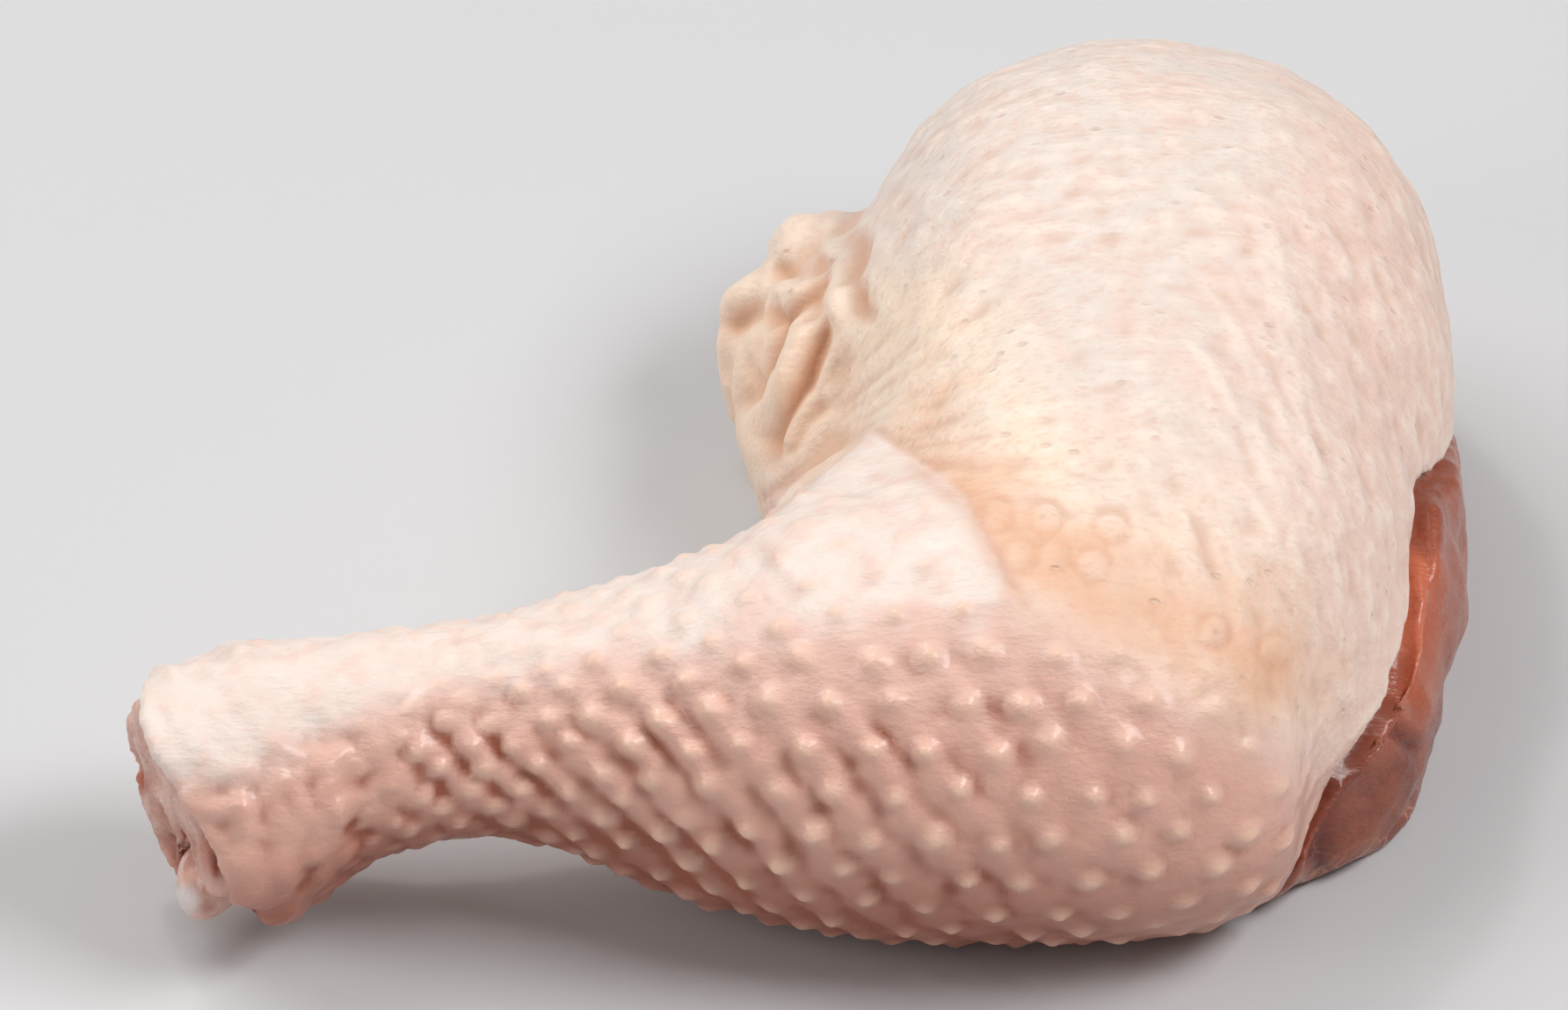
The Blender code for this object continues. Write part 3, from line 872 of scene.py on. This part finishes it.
def skin_masks(mesh, part):
    """The shares of each colour that depend on where the finished skin's points lie."""
    points, normals = points_of(mesh)
    across, down = part.places.T
    thigh, drum, around = part.thigh, part.drum, part.around
    dip = hollows(mesh, points, normals, SMALL_DIP)
    broad = hollows(mesh, points, normals, WIDE_DIP)
    # Painted shade in the small and wide dips of the skin
    hollow = ease(dip, -0.02, 0.45) * (0.9 + 0.4 * part.ankle - 0.65 * part.hock)
    hollow += ease(broad, 0.1, 1.0) * 0.45
    # Painted shade on the drumstick's lower side, where less light falls
    low_side_shade = (0.5 + 0.35 * ease(part.along, 50.0, 20.0)) * ease(around, 0.35, -0.55) * drum
    fat_gap, _, _ = line_gap(part.places, FAT_LINE)
    fat = ease(fat_gap + 4.0 * grain(points, 9.0, 81.0, 2), 13.0, 0.0) * part.seen
    butter = ease(across, 665, 540) * ease(down, 320, 410) + ease(fat_gap, 24.0, 6.0) * 0.9
    hip = ease(across, 540, 475) * ease(down, 520, 490) * thigh
    return {
        "drumstick": drum,
        "pale": drum * part.top * 0.95 + 0.25 * ease(around, 0.4, 1.0) * drum,
        "fat": fat * (1 - 0.6 * drum) * ease(across, 520, 590),
        "butter": butter * ease(part.facing, -0.3, 0.2) * thigh,
        # Painted shade in the thigh's dips
        "dip": ease(dip, 0.0, 0.14) * thigh,
        # Painted highlight on the crests
        "crest": ease(-dip, 0.0, 0.14) * (1 - drum * part.front),
        "hollow": hollow + low_side_shade,
        "blush": ease(across, 760, 880) * thigh * 0.8 + 0.35 * part.knee * thigh,
        # The hip's colour, stronger lower on the hip, and stronger in the dips as painted shade
        "hip": hip * (0.35 + 0.35 * ease(down, 370, 420) + hollow),
    }


class LEG_OT_skin(bpy.types.Operator):
    """Makes the skin with its follicles, wrinkles and trimmed edge"""

    bl_idname = "leg.skin"
    bl_label = "Make the skin"

    def execute(self, context):
        form, look = context.scene.leg_form, context.scene.leg_look
        skin = copy_of("skin", "leg_skin")
        add_web(skin, tree_of("skin"), WEB_CORNERS, WEB_DEPTH)
        soft_form(skin, form.skin_step * (1.0), SKIN_PASSES)
        drop_bubbles(skin)
        points, _ = points_of(skin.data)
        thin_out(skin, gap_to(tree_of("meat"), points) < COVERED_SKIN, SKIN_SHARE)
        shape_skin(skin, form)
        paint(skin, skin_material(look))
        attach(skin, "root")
        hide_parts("skin")
        return {"FINISHED"}


# ---- The meat and the bone --------------------------------------------------------------------

# Lines and spots read off the photo, in its pixels
MUSCLE_GAPS = (
    ((884, 520), (874, 560), (870, 605), (868, 640), (858, 668)),
    ((882, 540), (893, 585), (898, 630), (893, 665)),
    ((866, 668), (880, 676), (898, 694)),
    ((846, 690), (832, 712), (822, 745), (816, 775)),
)
STRIP_LINE = ((880, 552), (884, 590), (885, 630), (880, 662))
HOCK_GAPS = (
    ((92, 738), (102, 756), (113, 767)),
    ((68, 738), (71, 758), (75, 777)),
    ((80, 740), (82, 756), (85, 770)),
)
KNEE_MIDDLE = (905, 690)
CARTILAGE_SPOT = (82, 784)
RED_PIT = (51, 708)

# Lengths in millimetres
KNEE_SLACK = 3.0  # how far the meat beside the knee sinks in
COVERED_MEAT = 0.62  # meat that lies nearer than this to the skin can't be seen
BONE_STEP = 0.5
BONE_GRAIN = 0.15

# The meshes, as for the skin
MEAT_PASSES, MEAT_SHARE, QUICK_MEAT = 12, 0.5, 1.5
MEAT_DIP = 12
BONE_PASSES = 6


def shape_meat(obj):
    """Parts the bare meat into muscles, and works the cut hock end."""
    mesh = obj.data
    points, normals = points_of(mesh)
    bare = ease(gap_to(tree_of("skin"), points), 0.7, 1.6)
    places = in_picture(points)
    seen = ease(facing_view(normals), -0.05, 0.2)
    along = points[:, 0]
    hock = ease(along, -55.0, -62.0)
    right = ease(along, 55.0, 62.0)
    under = ease(normals[:, 2], -0.2, -0.7)
    above_floor = ease(points[:, 2], 0.1, 1.2)

    gaps = sum(stroke(places, seen, line, 1.2) for line in MUSCLE_GAPS) * ease(along, 50.0, 58.0)
    pits = sum(stroke(places, seen, line, 0.9) for line in HOCK_GAPS) * hock
    strip = stroke(places, seen, STRIP_LINE, 1.6) * right
    bundles = grain(points, (22.0, 9.0, 9.0), 4.0, 2)
    fibres = grain(points, (9.0, 2.4, 2.4), 6.0, 2)
    height = 0.9 * bundles * (1 - hock) + 0.15 * fibres * (1 - hock)
    height += 0.6 * strip - 1.2 * gaps - 1.6 * pits + 0.35 * grain(points, 2.6, 9.0, 3) * hock
    slack = ease(away_from(places, KNEE_MIDDLE), 22.0, 6.0) * ease(along, 52.0, 64.0) * above_floor
    points += normals * (bare * height * above_floor - KNEE_SLACK * slack)[:, None]
    points[:, 2] = np.maximum(points[:, 2], 0.0)
    put_points(mesh, points)

    points, normals = points_of(mesh)
    dip = hollows(mesh, points, normals, MEAT_DIP)
    # Painted shade: darker in the meat's dips and gaps between the muscles, with the dark red of the
    # hock's pits
    put_mask(mesh, "hollow", ease(dip, 0.03, 0.4) * (0.75 - 0.45 * hock) + gaps * 0.5 + pits)
    tint = 0.85 * stroke(places, seen, STRIP_LINE, 2.8) * right
    put_mask(mesh, "orange", tint + 0.4 * hock + 0.3 * right * ease(places[:, 1], 700, 640))
    cloudy = 0.62 + 0.38 * ease(grain(points, (9.0, 4.0, 4.0), 2.0), -0.3, 0.3)
    beside_pit = ease(away_from(places, RED_PIT), 0.6, 2.2)
    put_mask(mesh, "sheath", hock * cloudy * (1 - pits) * beside_pit)
    put_mask(mesh, "under", under)
    put_mask(mesh, "cartilage", hock * ease(away_from(places, CARTILAGE_SPOT), 2.6, 1.4))


class LEG_OT_meat(bpy.types.Operator):
    """Makes the bare meat under the skin and at the cut hock"""

    bl_idname = "leg.meat"
    bl_label = "Make the meat"

    def execute(self, context):
        form, look = context.scene.leg_form, context.scene.leg_look
        meat = copy_of("meat", "leg_meat")
        soft_form(meat, form.meat_step * (1.0), MEAT_PASSES)
        points, _ = points_of(meat.data)
        thin_out(meat, gap_to(tree_of("skin"), points) < COVERED_MEAT, MEAT_SHARE)
        shape_meat(meat)
        paint(meat, meat_material(look))
        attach(meat, "root")
        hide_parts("meat")
        return {"FINISHED"}


class LEG_OT_bone(bpy.types.Operator):
    """Makes the shank bone, whose cartilage shows at the hock"""

    bl_idname = "leg.bone"
    bl_label = "Make the shank bone"

    def execute(self, context):
        look = context.scene.leg_look
        bone = copy_of("shank_bone", "leg_shank_bone")
        soft_form(bone, BONE_STEP, BONE_PASSES)
        points, normals = points_of(bone.data)
        points += normals * (BONE_GRAIN * grain(points, 3.0, 1.0, 2))[:, None]
        put_points(bone.data, points)
        tip = away_from(in_picture(points), CARTILAGE_SPOT)
        put_mask(bone.data, "cartilage", ease(tip, 2.6, 0.8))
        paint(bone, bone_material(look))
        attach(bone, "root")
        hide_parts("shank_bone")
        return {"FINISHED"}


# ---- The stage --------------------------------------------------------------------------------

FLOOR_SIZE = 4.0
FLOOR_ROUGHNESS = 0.8
SENSOR_WIDTH = 36.0  # in millimetres, as the lens is
VIEW_MIDDLE = Vector((-0.001, -0.0006, 0.025))
SKY_COLOUR = (1.0, 0.985, 0.965, 1.0)
LIGHTS = (  # name, place, width and height, property that gives the power, colour
    ("main_light", (-0.5, 0.3, 0.78), (0.8, 0.8), "key_power", (1.0, 0.985, 0.96)),
    ("side_light", (0.55, -0.25, 0.75), (0.5, 0.3), "side_power", (1.0, 1.0, 1.0)),
    ("glint_light", (-0.25, 0.35, 0.85), (0.07, 0.07), "glint_power", (1.0, 1.0, 1.0)),
    ("end_light", (-0.7, -0.45, 0.55), (0.4, 0.4), "end_power", (1.0, 1.0, 1.0)),
)


def aim(obj, target):
    obj.rotation_euler = (target - obj.location).to_track_quat("-Z", "Y").to_euler()


def add_light(name, place, size, power, colour):
    data = bpy.data.lights.new(name, "AREA")
    data.shape = "RECTANGLE"
    data.size, data.size_y = size
    data.energy = power
    data.color = colour
    lamp = new_object(name, data)
    lamp.location = place
    aim(lamp, VIEW_MIDDLE)


def add_camera(stage):
    """A camera in front of the leg and above it, with its middle in the middle of the picture."""
    data = bpy.data.cameras.new("camera")
    data.sensor_width = SENSOR_WIDTH
    data.lens = SENSOR_WIDTH * stage.camera_distance / stage.picture_span
    camera = new_object("camera", data)
    height = stage.camera_height
    back = Vector((0, -math.cos(height), math.sin(height)))
    camera.location = VIEW_MIDDLE + stage.camera_distance * back
    aim(camera, VIEW_MIDDLE)
    return camera


class LEG_OT_stage(bpy.types.Operator):
    """Sets the floor, the soft light and the camera"""

    bl_idname = "leg.stage"
    bl_label = "Set the stage"

    def execute(self, context):
        scene = context.scene
        stage = scene.leg_stage
        bm = bmesh.new()
        bmesh.ops.create_grid(bm, x_segments=1, y_segments=1, size=FLOOR_SIZE / 2)
        mesh = bpy.data.meshes.new("floor")
        bm.to_mesh(mesh)
        bm.free()
        floor = new_object("floor", mesh)
        paper = Shader("floor_paper")
        material = paper.finish(base_color=tuple(stage.floor), roughness=FLOOR_ROUGHNESS)
        mesh.materials.append(material)

        scene.camera = add_camera(stage)
        for name, place, size, power, colour in LIGHTS:
            add_light(name, place, size, getattr(stage, power), colour)
        world = bpy.data.worlds.new("studio")
        world.use_nodes = True
        sky = world.node_tree.nodes["Background"]
        sky.inputs["Color"].default_value = SKY_COLOUR
        sky.inputs["Strength"].default_value = stage.sky
        scene.world = world
        scene.view_settings.view_transform = "Standard"
        return {"FINISHED"}


# ---- Panel and run ----------------------------------------------------------------------------

OPERATORS = (LEG_OT_stage, LEG_OT_bone, LEG_OT_meat, LEG_OT_skin)


class LEG_PT_panel(bpy.types.Panel):
    """Lists the leg's pieces and values"""

    bl_idname = "LEG_PT_panel"
    bl_label = "Chicken leg quarter"
    bl_space_type = "VIEW_3D"
    bl_region_type = "UI"
    bl_category = "Chicken leg"

    def draw(self, context):
        for made in OPERATORS:
            self.layout.operator(made.bl_idname)
        for group in (context.scene.leg_form, context.scene.leg_look, context.scene.leg_stage):
            box = self.layout.box()
            for name in group.__annotations__:
                box.prop(group, name)


GROUPS = {"leg_form": LEG_PG_form, "leg_look": LEG_PG_look, "leg_stage": LEG_PG_stage}


def register():
    for kind in (*GROUPS.values(), *OPERATORS, LEG_PT_panel):
        bpy.utils.register_class(kind)
    for name, group in GROUPS.items():
        setattr(bpy.types.Scene, name, bpy.props.PointerProperty(type=group))


def unregister():
    for name in GROUPS:
        delattr(bpy.types.Scene, name)
    for kind in (LEG_PT_panel, *reversed(OPERATORS), *reversed(list(GROUPS.values()))):
        bpy.utils.unregister_class(kind)


def main():
    register()
    bpy.ops.leg.stage()
    bpy.ops.leg.bone()
    bpy.ops.leg.meat()
    bpy.ops.leg.skin()


if __name__ == "__main__":
    main()
